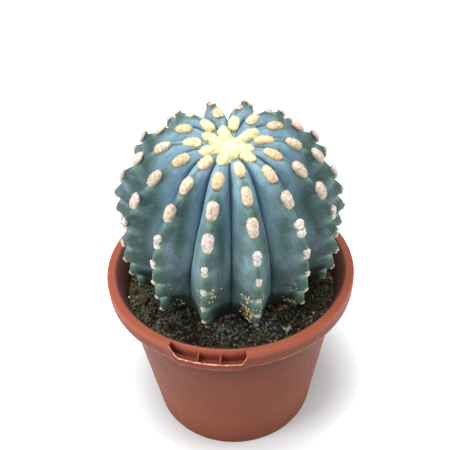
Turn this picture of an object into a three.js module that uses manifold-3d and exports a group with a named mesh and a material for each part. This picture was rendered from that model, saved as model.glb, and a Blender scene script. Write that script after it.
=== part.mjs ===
// A round, spineless blue barrel cactus with fourteen ribs, growing in a round plastic pot.
// Millimetres, +Z up. The origin is at the middle of the pot's foot, on the surface it stands on.
// Azimuths are in degrees, clockwise seen from above, from 0 at the back (+Y). The front is 180.

import * as THREE from "three";
import { mergeVertices } from "three/addons/utils/BufferGeometryUtils.js";
import Module from "manifold-3d";

// Pot
const POT_HEIGHT = 142;
const POT_SIDES = 64;
const RIM_RADIUS = 95;
const RIM_INNER_RADIUS = 88.9;
const RIM_DEPTH = 12;
const SHOULDER_RADIUS = 84.8; // outside of the wall, just under the rim
const FOOT_RADIUS = 67;
const WALL = 1.7;
const FLOOR_TOP = 5;
const FLOOR_BEVEL = 3;
const FOOT_BEVEL = 1.2;
const FOOT_RING_WIDTH = 4.5;
const FOOT_RECESS = 2.5;
const DRAIN_HOLES = 8;
const DRAIN_HOLE_RADIUS = 5;
const DRAIN_RING_RADIUS = 45;
const FOOT_NOTCHES = 4;
const NOTCH_SIZE = { across: 10, deep: 12, high: 3 };
// The turned-over rim from the inside of its throat, over its top, and up again inside its skirt:
// radius and depth under the top
const RIM_OUTLINE = [
  [86.2, 4],
  [87.2, 1.2],
  [RIM_INNER_RADIUS, 0],
  [RIM_RADIUS - 2.4, 0],
  [RIM_RADIUS - 0.7, 0.8],
  [RIM_RADIUS, 2.6],
  [RIM_RADIUS - 0.5, RIM_DEPTH],
  [RIM_RADIUS - 2, RIM_DEPTH],
  [RIM_RADIUS - 1.7, 2.6],
  [89.4, 2.6],
  [88, 4.6],
];
const SKIRT_INSIDE = RIM_RADIUS - 2.5; // points farther out belong to the skirt

// Label slot in the rim, at the front left
const SLOT_START = 174; // azimuth
const SLOT_END = 209.5;
const SLOT_EASE = 4; // degrees over which the lip bulges out
const LIP_BULGE = 1.9;
const LIP_DROP = 8; // of the lip's top
const LIP_SAG = 0.5; // of its bottom
const SLOT_FINS = [186, 195.5]; // azimuth
const FIN = { radius: 90.7, thick: 1.2, deep: 9, high: 5, down: 8.6 };
const SLOT_INNER_RADIUS = 90.2;
const SLOT_END_WALL = 1.2; // degrees of the eased lip that stay closed
const SLOT_WIDTH = 3.2;
const SLOT_CUT = 9; // deep from the rim's top

// Soil
const SOIL_HEIGHT = 118;
const SOIL_SIDES = 48;
const SOIL_RINGS = [76, 71, 66, 61, 56, 51, 46, 40, 34, 27, 0]; // radii
const GAP = 0.3;
const POT_GAP = 0.5; // more than GAP, because both walls are faceted
const ROOT_GAP = 0.6;
const WOOL_GAP = 0.4;
const MOUNDS = [
  { x: -1, y: -50, radius: 13, height: 6.5 },
  { x: 28, y: -48, radius: 10, height: 5 },
  { x: -44, y: -42, radius: 12, height: 4.5 },
  { x: 58, y: 34, radius: 15, height: 3 },
  { x: -52, y: 44, radius: 14, height: 3.5 },
];

// Where the plant stands in the soil, and how it leans
const PLANT_FOOT = { x: 3.5, y: 11.4 };
const LEAN_TO_FRONT = 9.1; // degrees
const LEAN_TO_RIGHT = -0.6;

// Cactus body: radii from the middle of the body, one for every PROFILE_STEP degrees from its top to its root
const BODY_CENTRE = 67; // above the soil
const PROFILE_STEP = 20;
const CREST_RADII = [65.5, 77, 83.3, 85.4, 83, 82.4, 85.3, 89.5, 92, 91];
const GROOVE_SHARES = [1, 0.96, 0.79, 0.735, 0.76, 0.8, 0.9, 0.94, 0.97, 1];
const LEFT_SWELL = 0.02; // the left side is fuller than the right
const SWELL_ANGLES = [0, 60]; // degrees from the top
const UNDERCUT = 0.26; // how far the ribs' lower ends turn in over the root neck, in front and at the sides
const UNDERCUT_START = 106;
const UNDERCUT_END = 142;
const UNDERCUT_SHIFT = 2.4; // degrees sooner on the right and later on the left
const HANGING_PART = [0.1, 0.5]; // from the back, where the ribs reach the soil, 0, to the front, 1
const NECK_ANGLES = [150, 168];
// The flanks swell near the growing point, are flat where the ribs are grown, and hollow at their lower ends
const GROWN_FLANKS = [15, 75]; // distances from the growing point
const TOE_FLANKS = [92, 112]; // degrees from the top
const FLANK_POWERS = { young: 0.62, grown: 1, toe: 2.1 };
const YOUNG_PINCH = 1.6;
const ROWS_PER_AREOLE = 3;
const ROWS_WITH_AREOLES = 27;
const ROWS_UNDER = 8;
const APEX_ROW_STEP = 3; // the least distance between the first rows
const CREST_SHARE = 0.12; // the crest is blunt this far to each side, as a share of the way to the groove
const RIB_COLUMNS = [-0.6, -CREST_SHARE, CREST_SHARE, 0.6, 1];

// Ribs
const RIBS = 14;
const FIRST_RIB = 14.5; // azimuth
const RIB_TWIST = 0.03; // degrees a millimetre down the crest
const TWIST_SPAN = { from: 40, middle: 85, to: 150 }; // distances from the growing point
// Degrees off even spacing
const RIB_DRIFT = [-0.6, -0.2, -0.5, -0.1, 0, -0.4, 0.2, -0.4, -1, -1.5, 1.4, 1.6, 1.2, 1.1];

// Areoles: the woolly pads along each crest, by their distance down the crest from the growing point
const PITCH = 20.2;
const YOUNGEST = 10.2;
const SPIRAL_TURN = 3 / 7; // of a pitch, from one rib to the next
const BACK_SHIFT = 1.6; // the growing point lies nearer to the front
const CLOSING_START = 83; // older areoles stand closer together
const CLOSING_LENGTH = 20;
const CLOSED_PITCH = 0.86; // of a full pitch
const CROWN_REACH = 18.6; // younger ones are part of the crown's wool
const LAST_AREOLE_ANGLE = 117; // degrees from the top, at the ribs' lower ends
const AREOLE_LENGTH = 13;
const AREOLE_WIDTH = 8;
const AREOLE_RISE = 2.2;
const PAD_SINK = 0.35; // how far the middle of a pad lies under the skin, as a share of its rise
const OLD_AREOLE_START = 80;
const OLD_AREOLE_END = 130;
const OLD_AREOLE_SIZE = 0.5;
const NOTCH_PLACE = 0.3; // below each areole, as a share of the way to the next
const NOTCH_DEPTH_TOP = 1.2;
const NOTCH_DEPTH_LOW = 4.4;
const NOTCH_GROWS = [20, 95]; // distances from the growing point
const NOTCH_FADE = 5; // how soon the notches fade beside the crest
const LOBE_PLACE = 1.25; // over 1 moves the lobe between two notches down
const LOBE_SHAPE = 0.75; // under 1 rounds it

// Crown wool
const CROWN_RADIUS = 13;
const CROWN_RISE = 5.5;
const ARM_START = 4; // distance from the growing point
const ARM_PAST_AREOLE = 6.5;
const ARM_WIDTH = 9.8;
const ARM_RISE = 4.2;

const wasm = await Module();
wasm.setup();

const { clamp, degToRad, lerp, smoothstep } = THREE.MathUtils;
const onAzimuth = (radius, azimuth, z) =>
  new THREE.Vector3(radius * Math.sin(degToRad(azimuth)), radius * Math.cos(degToRad(azimuth)), z);
const azimuthOf = (point) => (THREE.MathUtils.radToDeg(Math.atan2(point.x, point.y)) + 360) % 360;

// A closed geometry as a solid that can be joined and cut
function solidOf(geometry) {
  const bare = new THREE.BufferGeometry();
  bare.setAttribute("position", geometry.getAttribute("position").clone());
  if (geometry.index) bare.setIndex(geometry.index.clone());
  const merged = mergeVertices(bare, 1e-4);
  const vertProperties = merged.attributes.position.array;
  const triVerts = new Uint32Array(merged.index.array);
  return new wasm.Manifold(new wasm.Mesh({ numProp: 3, vertProperties, triVerts }));
}

function geometryOf(solid) {
  const mesh = solid.getMesh();
  const geometry = new THREE.BufferGeometry();
  geometry.setAttribute("position", new THREE.BufferAttribute(mesh.vertProperties, 3));
  geometry.setIndex(new THREE.BufferAttribute(mesh.triVerts, 1));
  geometry.computeVertexNormals();
  return geometry;
}

const largest = (solid) => solid.decompose().reduce((a, b) => (a.volume() > b.volume() ? a : b));

function named(name, geometry, color, roughness) {
  const mesh = new THREE.Mesh(geometry, new THREE.MeshStandardMaterial({ color, roughness, metalness: 0 }));
  mesh.name = name;
  return mesh;
}

// A smooth curve through evenly spaced values, mirrored at both ends because it crosses the axis there
function curveThrough(values, step, at) {
  const last = values.length - 1;
  const i = clamp(Math.floor(at / step), 0, last - 1);
  const t = at / step - i;
  const value = (j) => values[last - Math.abs(last - Math.abs(j))];
  const [a, b, c, d] = [value(i - 1), value(i), value(i + 1), value(i + 2)];
  return b + 0.5 * t * (c - a + t * (2 * a - 5 * b + 4 * c - d + t * (3 * (b - c) + d - a)));
}

// Pot

const wallRadius = (z) => lerp(FOOT_RADIUS, SHOULDER_RADIUS, z / (POT_HEIGHT - RIM_DEPTH));
const innerRadius = (z) => wallRadius(z) - WALL;

// 1 in the middle of the label slot, easing to 0 at its ends
function slotShare(azimuth) {
  const started = smoothstep(azimuth, SLOT_START, SLOT_START + SLOT_EASE);
  const ended = smoothstep(azimuth, SLOT_END - SLOT_EASE, SLOT_END);
  return started * (1 - ended);
}

// A curved block between two radii and two azimuths
function arcBlock(inner, outer, start, end, bottom, top) {
  const shape = new THREE.Shape();
  const from = degToRad(90 - end);
  const to = degToRad(90 - start);
  shape.absarc(0, 0, outer, from, to, false);
  shape.absarc(0, 0, inner, to, from, true);
  const depth = top - bottom;
  const block = new THREE.ExtrudeGeometry(shape, { depth, bevelEnabled: false, curveSegments: 8 });
  return solidOf(block.translate(0, 0, bottom));
}

function potProfile() {
  const bandBottom = POT_HEIGHT - RIM_DEPTH;
  const footEdge = FOOT_RADIUS - FOOT_BEVEL;
  const points = [
    [0, FLOOR_TOP],
    [innerRadius(FLOOR_TOP) - FLOOR_BEVEL, FLOOR_TOP],
    [innerRadius(FLOOR_TOP + FLOOR_BEVEL), FLOOR_TOP + FLOOR_BEVEL],
    [innerRadius(bandBottom), bandBottom],
    ...RIM_OUTLINE.map(([radius, down]) => [radius, POT_HEIGHT - down]),
    [SHOULDER_RADIUS, bandBottom],
    [wallRadius(FOOT_BEVEL), FOOT_BEVEL],
    [footEdge, 0],
    [footEdge - FOOT_RING_WIDTH, 0],
    [footEdge - FOOT_RING_WIDTH - 1, FOOT_RECESS],
    [0, FOOT_RECESS],
  ];
  return points.reverse().map(([radius, z]) => new THREE.Vector2(radius, z));
}

// The rim's outer skirt bulges out and drops where the label slot is
function bulgeLip(geometry) {
  const at = geometry.attributes.position;
  for (let i = 0; i < at.count; i++) {
    const point = new THREE.Vector3().fromBufferAttribute(at, i);
    const radius = Math.hypot(point.x, point.y);
    if (radius < SKIRT_INSIDE) continue;
    const share = slotShare(azimuthOf(point));
    const grown = 1 + (LIP_BULGE * share) / radius;
    const drop = point.z > POT_HEIGHT - RIM_DEPTH / 2 ? LIP_DROP : LIP_SAG;
    at.setXYZ(i, point.x * grown, point.y * grown, point.z - drop * share);
  }
}

function potSolid() {
  const turned = new THREE.LatheGeometry(potProfile(), POT_SIDES);
  turned.rotateX(Math.PI / 2);
  bulgeLip(turned);
  let pot = solidOf(turned);

  const slotOuter = SLOT_INNER_RADIUS + SLOT_WIDTH;
  const from = SLOT_START + SLOT_END_WALL;
  const to = SLOT_END - SLOT_END_WALL;
  const slot = arcBlock(SLOT_INNER_RADIUS, slotOuter, from, to, POT_HEIGHT - SLOT_CUT, POT_HEIGHT + 1);
  pot = pot.subtract(slot);
  for (const azimuth of SLOT_FINS) {
    const fin = new THREE.BoxGeometry(FIN.thick, FIN.deep, FIN.high);
    const place = onAzimuth(FIN.radius, azimuth, POT_HEIGHT - FIN.down);
    fin.rotateZ(-degToRad(azimuth)).translate(place.x, place.y, place.z);
    pot = pot.add(solidOf(fin));
  }

  for (let i = 0; i < DRAIN_HOLES; i++) {
    const hole = new THREE.CylinderGeometry(DRAIN_HOLE_RADIUS, DRAIN_HOLE_RADIUS, 2 * FLOOR_TOP, 12);
    const place = onAzimuth(DRAIN_RING_RADIUS, (360 / DRAIN_HOLES) * i, FLOOR_TOP - 1);
    pot = pot.subtract(solidOf(hole.rotateX(Math.PI / 2).translate(place.x, place.y, place.z)));
  }
  for (let i = 0; i < FOOT_NOTCHES; i++) {
    const azimuth = (360 / FOOT_NOTCHES) * (i + 0.5);
    const notch = new THREE.BoxGeometry(NOTCH_SIZE.across, NOTCH_SIZE.deep, NOTCH_SIZE.high);
    const place = onAzimuth(FOOT_RADIUS - NOTCH_SIZE.deep / 4, azimuth, 0);
    pot = pot.subtract(solidOf(notch.rotateZ(-degToRad(azimuth)).translate(place.x, place.y, place.z)));
  }
  return pot;
}

// Cactus body, in the plant's own frame: its origin is on the soil, under the growing point

function ribAzimuth(k, distance = TWIST_SPAN.middle) {
  const twist = RIB_TWIST * (clamp(distance, TWIST_SPAN.from, TWIST_SPAN.to) - TWIST_SPAN.middle);
  return FIRST_RIB + (360 / RIBS) * k + RIB_DRIFT[(k + RIBS) % RIBS] + twist;
}

function crestRadius(angle, azimuth = 180) {
  const toRight = Math.sin(degToRad(azimuth));
  const hanging = smoothstep((1 - Math.cos(degToRad(azimuth))) / 2, ...HANGING_PART);
  const start = UNDERCUT_START - UNDERCUT_SHIFT * toRight;
  const turnedIn = smoothstep(angle, start, UNDERCUT_END) * (1 - smoothstep(angle, ...NECK_ANGLES));
  const swell = 1 - LEFT_SWELL * toRight * smoothstep(angle, ...SWELL_ANGLES);
  return curveThrough(CREST_RADII, PROFILE_STEP, angle) * swell * (1 - UNDERCUT * hanging * turnedIn);
}

// Distance down a crest for every whole degree from the top
const crestDistance = [0];
for (let angle = 1; angle <= 180; angle++) {
  const point = (a) => {
    const radius = crestRadius(a);
    return new THREE.Vector2(radius * Math.sin(degToRad(a)), radius * Math.cos(degToRad(a)));
  };
  crestDistance.push(crestDistance[angle - 1] + point(angle).distanceTo(point(angle - 1)));
}

function distanceAt(angle) {
  const whole = Math.min(Math.floor(angle), 179);
  return lerp(crestDistance[whole], crestDistance[whole + 1], angle - whole);
}

function angleAt(distance) {
  const next = crestDistance.findIndex((d) => d > distance);
  return next - (crestDistance[next] - distance) / (crestDistance[next] - crestDistance[next - 1]);
}

// The distance from the growing point, on rib k, of a place so many pitches down the spiral of areoles
function spiralDistance(k, pitches) {
  const turn = ((k + RIBS + 1) * SPIRAL_TURN) % 1;
  const even = YOUNGEST + PITCH * (turn + pitches) + BACK_SHIFT * Math.cos(degToRad(ribAzimuth(k)));
  const past = Math.max(0, even - CLOSING_START);
  const closing = Math.min(past, CLOSING_LENGTH);
  const lost = (closing * closing) / (2 * CLOSING_LENGTH) + past - closing;
  return even - (1 - CLOSED_PITCH) * lost;
}

// The distances of a rib's areoles from the growing point, youngest first
function areoleDistances(k) {
  const distances = [];
  for (let n = 0; angleAt(spiralDistance(k, n)) < LAST_AREOLE_ANGLE; n++) {
    distances.push(spiralDistance(k, n));
  }
  return distances;
}

const areoles = Array.from({ length: RIBS }, (_, k) => areoleDistances(k));

// How far the crest dips between two areoles' bulges
function notchDip(k, distance) {
  let n = -1;
  while (spiralDistance(k, n + NOTCH_PLACE) <= distance) n++;
  const before = spiralDistance(k, n - 1 + NOTCH_PLACE);
  const share = (distance - before) / (spiralDistance(k, n + NOTCH_PLACE) - before);
  const lobe = Math.sin(Math.PI * share ** LOBE_PLACE) ** LOBE_SHAPE;
  return lerp(NOTCH_DEPTH_TOP, NOTCH_DEPTH_LOW, smoothstep(distance, ...NOTCH_GROWS)) * (1 - lobe);
}

// The rows of the body's skin follow each rib's areoles to its lower end, and then close under the root
function rowAngle(k, row) {
  const distance = (r) => spiralDistance(k, NOTCH_PLACE - 1 + r / ROWS_PER_AREOLE);
  if (row < ROWS_WITH_AREOLES) return angleAt(Math.max(APEX_ROW_STEP * (row + 1), distance(row)));
  const last = angleAt(distance(ROWS_WITH_AREOLES - 1));
  return lerp(last, 180, (row - ROWS_WITH_AREOLES + 1) / (ROWS_UNDER + 1));
}

// A point of the body. side is -1 at the groove before rib k, 0 on its crest and 1 at the groove after it
function bodyPoint(k, side, angle, grow = 0) {
  const distance = distanceAt(angle);
  const crest = ribAzimuth(k, distance);
  const azimuth = lerp(crest, ribAzimuth(k + Math.sign(side), distance), Math.abs(side) / 2);
  const off = Math.max(0, Math.abs(side) - CREST_SHARE) / (1 - CREST_SHARE);
  const grown = smoothstep(distance, ...GROWN_FLANKS);
  const upper = lerp(FLANK_POWERS.young, FLANK_POWERS.grown, grown);
  const power = lerp(upper, FLANK_POWERS.toe, smoothstep(angle, ...TOE_FLANKS));
  const flank = (1 - off ** lerp(YOUNG_PINCH, 1, grown)) ** power;
  const groove = curveThrough(GROOVE_SHARES, PROFILE_STEP, angle);
  const dip = notchDip(k, distance) * (1 - off) ** NOTCH_FADE;
  const radius = crestRadius(angle, azimuth) * lerp(groove, 1, flank) - dip + grow;
  const height = BODY_CENTRE + radius * Math.cos(degToRad(angle));
  return onAzimuth(radius * Math.sin(degToRad(angle)), azimuth, height);
}

function bodyGeometry(grow = 0) {
  const columns = [];
  for (let k = 0; k < RIBS; k++) for (const side of RIB_COLUMNS) columns.push([k, side]);
  const rows = ROWS_WITH_AREOLES + ROWS_UNDER;
  const points = [new THREE.Vector3(0, 0, BODY_CENTRE + CREST_RADII[0] + grow)];
  for (let row = 0; row < rows; row++) {
    for (const [k, side] of columns) {
      const angle = lerp(rowAngle(k, row), rowAngle(k + Math.sign(side), row), Math.abs(side) / 2);
      points.push(bodyPoint(k, side, angle, grow));
    }
  }
  points.push(new THREE.Vector3(0, 0, BODY_CENTRE - CREST_RADII.at(-1) - grow));

  const faces = [];
  const at = (row, column) => 1 + row * columns.length + (column % columns.length);
  for (let c = 0; c < columns.length; c++) {
    faces.push(0, at(0, c + 1), at(0, c));
    faces.push(points.length - 1, at(rows - 1, c), at(rows - 1, c + 1));
    for (let row = 1; row < rows; row++) {
      faces.push(at(row - 1, c), at(row - 1, c + 1), at(row, c));
      faces.push(at(row - 1, c + 1), at(row, c + 1), at(row, c));
    }
  }
  const geometry = new THREE.BufferGeometry().setFromPoints(points);
  geometry.setIndex(faces);
  return geometry;
}

// A shape of unit size, set on the crest of rib k: x across the rib, y along it, z out of it
function onCrest(shape, k, distance, width, length, rise) {
  const angle = angleAt(distance);
  const along = bodyPoint(k, 0, angle + 3).sub(bodyPoint(k, 0, angle - 3)).normalize();
  const across = onAzimuth(1, ribAzimuth(k, distance) + 90, 0);
  const out = new THREE.Vector3().crossVectors(across, along).normalize();
  const centre = bodyPoint(k, 0, angle).addScaledVector(out, -PAD_SINK * rise);
  const frame = new THREE.Matrix4().makeBasis(
    across.multiplyScalar(width / 2),
    along.multiplyScalar(length / 2),
    out.multiplyScalar(rise),
  );
  return solidOf(shape.clone().applyMatrix4(frame.setPosition(centre)));
}

function cactusSolid() {
  const youngPad = new THREE.CylinderGeometry(0.62, 1, 2, 7).rotateX(Math.PI / 2);
  const oldPad = new THREE.OctahedronGeometry(1);
  let cactus = solidOf(bodyGeometry());
  for (let k = 0; k < RIBS; k++) {
    for (const distance of areoles[k].filter((d) => d > CROWN_REACH)) {
      const age = smoothstep(distance, OLD_AREOLE_START, OLD_AREOLE_END);
      const size = lerp(1, OLD_AREOLE_SIZE, age);
      const shape = age < 0.5 ? youngPad : oldPad;
      const [width, length, rise] = [AREOLE_WIDTH, AREOLE_LENGTH, AREOLE_RISE].map((full) => full * size);
      cactus = cactus.add(onCrest(shape, k, distance, width, length, rise));
    }
  }
  return cactus;
}

// The crown's wool: a core with one arm for each of the youngest areoles, lying just clear of the skin
function crownSolid() {
  const core = new THREE.SphereGeometry(1, 16, 8).rotateX(Math.PI / 2);
  core.scale(CROWN_RADIUS, CROWN_RADIUS, CROWN_RISE).translate(0, 0, BODY_CENTRE + CREST_RADII[0]);
  const arm = new THREE.OctahedronGeometry(1, 1);
  let wool = solidOf(core);
  for (let k = 0; k < RIBS; k++) {
    for (const distance of areoles[k].filter((d) => d <= CROWN_REACH)) {
      const tip = distance + ARM_PAST_AREOLE;
      wool = wool.add(onCrest(arm, k, (ARM_START + tip) / 2, ARM_WIDTH, tip - ARM_START, ARM_RISE));
    }
  }
  return largest(wool.subtract(solidOf(bodyGeometry(WOOL_GAP))));
}

// Soil

function soilTop(x, y) {
  const broad = 0.7 * Math.sin(0.19 * x + 1.3) * Math.cos(0.16 * y - 0.6);
  const fine = 0.4 * Math.sin(0.31 * x - 0.27 * y);
  let z = SOIL_HEIGHT + broad + fine;
  for (const { x: mx, y: my, radius, height } of MOUNDS) {
    const away = Math.hypot(x - mx, y - my) / radius;
    z += height * Math.max(0, 1 - away * away) ** 1.5;
  }
  return z;
}

function soilSolid(plant) {
  const bottom = FLOOR_TOP + GAP;
  const edge = innerRadius(SOIL_HEIGHT) - POT_GAP;
  const profile = [
    [0, bottom],
    [innerRadius(FLOOR_TOP) - FLOOR_BEVEL - POT_GAP, bottom],
    [innerRadius(FLOOR_TOP + FLOOR_BEVEL) - POT_GAP, FLOOR_TOP + FLOOR_BEVEL + POT_GAP],
    ...[edge, ...SOIL_RINGS].map((radius) => [radius, SOIL_HEIGHT]),
  ];
  const outline = profile.map(([radius, z]) => new THREE.Vector2(radius, z));
  const turned = new THREE.LatheGeometry(outline, SOIL_SIDES).rotateX(Math.PI / 2);
  const at = turned.attributes.position;
  for (let i = 0; i < at.count; i++) {
    const inside = Math.hypot(at.getX(i), at.getY(i)) < edge - 0.1;
    if (at.getZ(i) > SOIL_HEIGHT - 1 && inside) at.setZ(i, soilTop(at.getX(i), at.getY(i)));
  }
  const hollow = bodyGeometry(ROOT_GAP).applyMatrix4(plant.matrixWorld);
  return largest(solidOf(turned).subtract(solidOf(hollow)));
}

// The whole object

const group = new THREE.Group();
const plant = new THREE.Group();
plant.position.set(PLANT_FOOT.x, PLANT_FOOT.y, SOIL_HEIGHT);
plant.rotation.set(degToRad(LEAN_TO_FRONT), degToRad(LEAN_TO_RIGHT), 0);
plant.updateMatrixWorld(true);

plant.add(named("cactus", geometryOf(cactusSolid()), 0x5f8b86, 0.6));
plant.add(named("crown_wool", geometryOf(crownSolid()), 0xf0e59c, 0.95));
group.add(plant);
group.add(named("pot", geometryOf(potSolid()), 0xb5603f, 0.55));
group.add(named("soil", geometryOf(soilSolid(plant)), 0x2b241e, 0.95));

export default group;
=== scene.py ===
"""The looks of a potted round blue cactus: its ribbed skin, woolly areoles, soil and plastic pot.

Sizes are in millimetres until a mesh is made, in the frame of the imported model: Z up, front towards -Y.
Azimuths are in degrees, clockwise seen from above, from 0 at the back (+Y). The front is 180.
Colours are as seen on screen, red, green and blue from 0 to 255.
"""

import math

import bmesh
import bpy
import numpy as np
from mathutils import Matrix, Vector, noise


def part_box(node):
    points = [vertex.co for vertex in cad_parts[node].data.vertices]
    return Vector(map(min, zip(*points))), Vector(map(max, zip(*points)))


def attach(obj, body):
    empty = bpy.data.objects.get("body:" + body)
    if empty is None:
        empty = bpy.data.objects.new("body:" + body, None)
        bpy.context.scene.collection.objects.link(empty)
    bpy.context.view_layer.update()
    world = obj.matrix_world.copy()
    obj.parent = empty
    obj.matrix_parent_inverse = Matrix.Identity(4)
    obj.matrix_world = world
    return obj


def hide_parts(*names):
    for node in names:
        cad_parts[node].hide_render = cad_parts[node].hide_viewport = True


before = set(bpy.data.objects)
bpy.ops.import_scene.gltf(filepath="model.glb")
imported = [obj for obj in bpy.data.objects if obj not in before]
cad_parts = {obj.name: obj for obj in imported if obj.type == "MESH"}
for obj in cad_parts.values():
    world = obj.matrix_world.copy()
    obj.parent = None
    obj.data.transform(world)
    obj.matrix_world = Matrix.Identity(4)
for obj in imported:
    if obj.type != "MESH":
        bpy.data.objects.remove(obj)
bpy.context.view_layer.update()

MM = 0.001
random = np.random.default_rng(14)

# Camera, fitted to the photograph: 450 pixels square, in metres and degrees
PHOTO_SIZE = 450
FOCAL_PIXELS = 650
SENSOR_WIDTH = 36
CAMERA_ELEVATION = 38.5
CAMERA_DISTANCE = 0.481575
CAMERA_ROLL = -2.567
CAMERA_TARGET = Vector((-0.002568, 0, 0.177456))

# Floor and lights, in metres and watts
FLOOR_HALF = 3
FLOOR_SINK = 0.0002
FLOOR_COLOUR = (0.64, 0.66, 0.67, 1)
GLOW_CENTRE = (0.004, 0.026, 0)
GLOW_REACH = (0.065, 0.175)
GLOW_STRENGTH = (0.06, 0.8)  # of the floor, under the pot and beyond it
WORLD_STRENGTH = 0.44
LIGHT_TARGET = (0, 0, 0.12)
LIGHTS = [
    ("overhead", (-0.15, 0.05, 1.3), 0.8, 15.5),  # name, place, size, power
    ("left", (-1.0, -0.5, 0.7), 0.6, 10),
    ("right", (1.1, -0.05, 0.6), 0.7, 7),
]

# Pot
POT_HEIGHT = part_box("pot")[1].z / MM
RIM_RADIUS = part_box("pot")[1].x / MM
RIM_INNER_RADIUS = 88.9
RIM_DEPTH = 12
BAND_BOTTOM = POT_HEIGHT - RIM_DEPTH
SHOULDER_RADIUS = 84.8
FOOT_RADIUS = 67
WALL = 1.7
FLOOR_TOP = 5
FLOOR_BEVEL = 3
FOOT_RING_WIDTH = 4.5
FOOT_RECESS = 2.5
DRAIN_HOLES = 8
DRAIN_HOLE_RADIUS = 5
DRAIN_RING_RADIUS = 45
FOOT_NOTCHES = 4
NOTCH_SIZE = (10, 12, 3)
POT_STEP = 1.5  # degrees
SHARP_ANGLE = 40

# Label slot in the rim
SLOT_START = 174
SLOT_END = 209.5
SLOT_EASES = (3, 6)
SLOT_END_WALL = 1.2
SLOT_OPEN = (SLOT_START + SLOT_END_WALL, SLOT_END - SLOT_END_WALL)
SLOT_FINS = (186, 195.5)
FIN_HALF = 0.42  # degrees
FIN_DEPTH = 3.2
SLOT_INNER_RADIUS = 90.2
SLOT_OUTER_RADIUS = 93.4
SLOT_FADE = 13  # the depth at which the slot's painted light has ended
LIP_BULGE = 1.9
LIP_DROP = 8
LIP_SAG = 0.5
LIP_THICKNESS = 1.6

# Soil
SOIL_HEIGHT = 118
SOIL_EDGE_GAP = 0.5
SOIL_FLOOR_GAP = 0.3
SOIL_MIDDLE = 16  # radius of the part under the plant that has no rings of points
SOIL_RINGS = 76
SOIL_SEGMENTS = 330
SOIL_LUMPS = [(0.9, 5, 7), (0.55, 2.2, 8), (0.9, 12, 9)]  # depth, size, seed
MOUNDS = [
    (-1, -50, 13, 6.5),  # x, y, radius, height
    (28, -48, 10, 5),
    (-44, -42, 12, 4.5),
    (58, 34, 15, 3),
    (-52, 44, 14, 3.5),
]
MOSS_TRIES = 9000
MOSS_LENGTHS = (1, 2.3)
MOSS_THICKNESS = 0.42
MOSS_PATCH = (71, -13)
MOSS_PATCH_SIZE = (9, 12)

# Litter on the soil: x, y, its half sizes, degrees turned, how far it stands over the soil, tone
LITTER = [
    (61, -37, (1.3, 1.2, 1.0), 0, 0.6, 1.0),
    (67, -39, (1.1, 1.0, 0.9), 40, 0.5, 1.0),
    (10, -54, (1.0, 1.0, 0.8), 0, 0.5, 1.0),
    (-80, -12, (1.2, 1.1, 1.0), 0, 0.5, 1.0),
    (24, -62, (0.9, 0.8, 0.7), 0, 0.4, 0.9),
    (39, -57, (0.8, 0.8, 3.8), 20, 2.8, 0.7),
    (40, -56, (3.2, 1.5, 0.9), 65, 6.2, 0.74),
    (37.5, -55, (2.8, 1.3, 0.8), 130, 4.8, 0.7),
    (42, -51, (0.8, 3.2, 0.7), 15, 1.6, 0.72),
    (44, -45, (0.5, 3.4, 0.5), -35, 0.8, 0.35),
    (39, -30, (4.2, 2.2, 0.8), 25, 1.2, 0.0),
    (36, -33, (2.6, 1.4, 0.6), -10, 1.0, 0.3),
    (13, -48, (2.2, 1.0, 0.6), 50, 1.0, 0.35),
    (80, 0, (2.2, 1.6, 0.9), 80, 0.6, 0.3),
    (-38, -24, (2.4, 1.2, 0.7), 30, 1.0, 0.15),
    (-43, -22, (1.8, 1.0, 0.6), -20, 0.8, 0.4),
    (-34, -27, (1.3, 0.9, 0.6), 0, 0.7, 0.5),
]

# Where the plant stands and how it leans
PLANT_FOOT = (3.5, 11.4)
LEAN_TO_FRONT = 9.1
LEAN_TO_RIGHT = -0.6
STAND_RADIUS = 44  # of the soil that it covers
STAND_SHIFT = 6  # of that round's middle, behind the foot

# Cactus body, as in the solid it replaces
BODY_CENTRE = 67
PROFILE_STEP = 20
CREST_RADII = [65.5, 77, 83.3, 85.4, 83, 82.4, 85.3, 89.5, 92, 91]
GROOVE_SHARES = [1, 0.96, 0.79, 0.735, 0.76, 0.8, 0.9, 0.94, 0.97, 1]
LEFT_SWELL = 0.02  # the left side is fuller than the right
UNDERCUT = 0.26  # how far the ribs' lower ends turn in over the root neck, in front and at the sides
UNDERCUT_ANGLES = (106, 142)
UNDERCUT_SHIFT = 2.4  # degrees sooner on the right and later on the left
HANGING_PART = (0.1, 0.5)  # from the back, where the ribs reach the soil, 0, to the front, 1
NECK_ANGLES = (150, 168)
CREST_ROUNDS = (0.1, 0.22)  # how blunt the crest is, as a share of the way to the groove, and lower down
BLUNTING_ANGLES = (98, 112)
FLANK_GROWTH = (15, 75)  # distances from the growing point, here and in each name that ends so
YOUNG_CREST = 1.6  # over 1 broadens the young crests
YOUNG_FLANK = 0.62  # under 1 swells the flanks
GROWN_FLANK = 1.0
TOE_FLANK = 2.1  # over 1 hollows them, down where the ribs stand on the soil like toes
TOE_ANGLES = (92, 112)
CREASE_DEPTH = 1.6
CREASE_WIDTH = 0.8
CREASE_GROWTH = (8, 30)
CREASE_END_ANGLES = (104, 118)
SKIN_LUMPS = [(0.7, 24, 1), (0.22, 7, 2)]  # depth, size, seed
LUMPS_GROWTH = (4, 20)
RIBS = 14
FIRST_RIB = 14.5
RIB_TWIST = 0.03  # degrees a millimetre down the crest
TWISTED_PART = (40, 150)
TWIST_MIDDLE = 85
RIB_SWAY = 0.5  # degrees to each side
SWAY_LENGTH = 31  # down the crest, for one radian of a sway
SWAY_STEP = 2.1  # radians from one rib to the next
SWAY_GROWTH = (20, 60)
RIB_DRIFT = [-0.6, -0.2, -0.5, -0.1, 0, -0.4, 0.2, -0.4, -1, -1.5, 1.4, 1.6, 1.2, 1.1]

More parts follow.
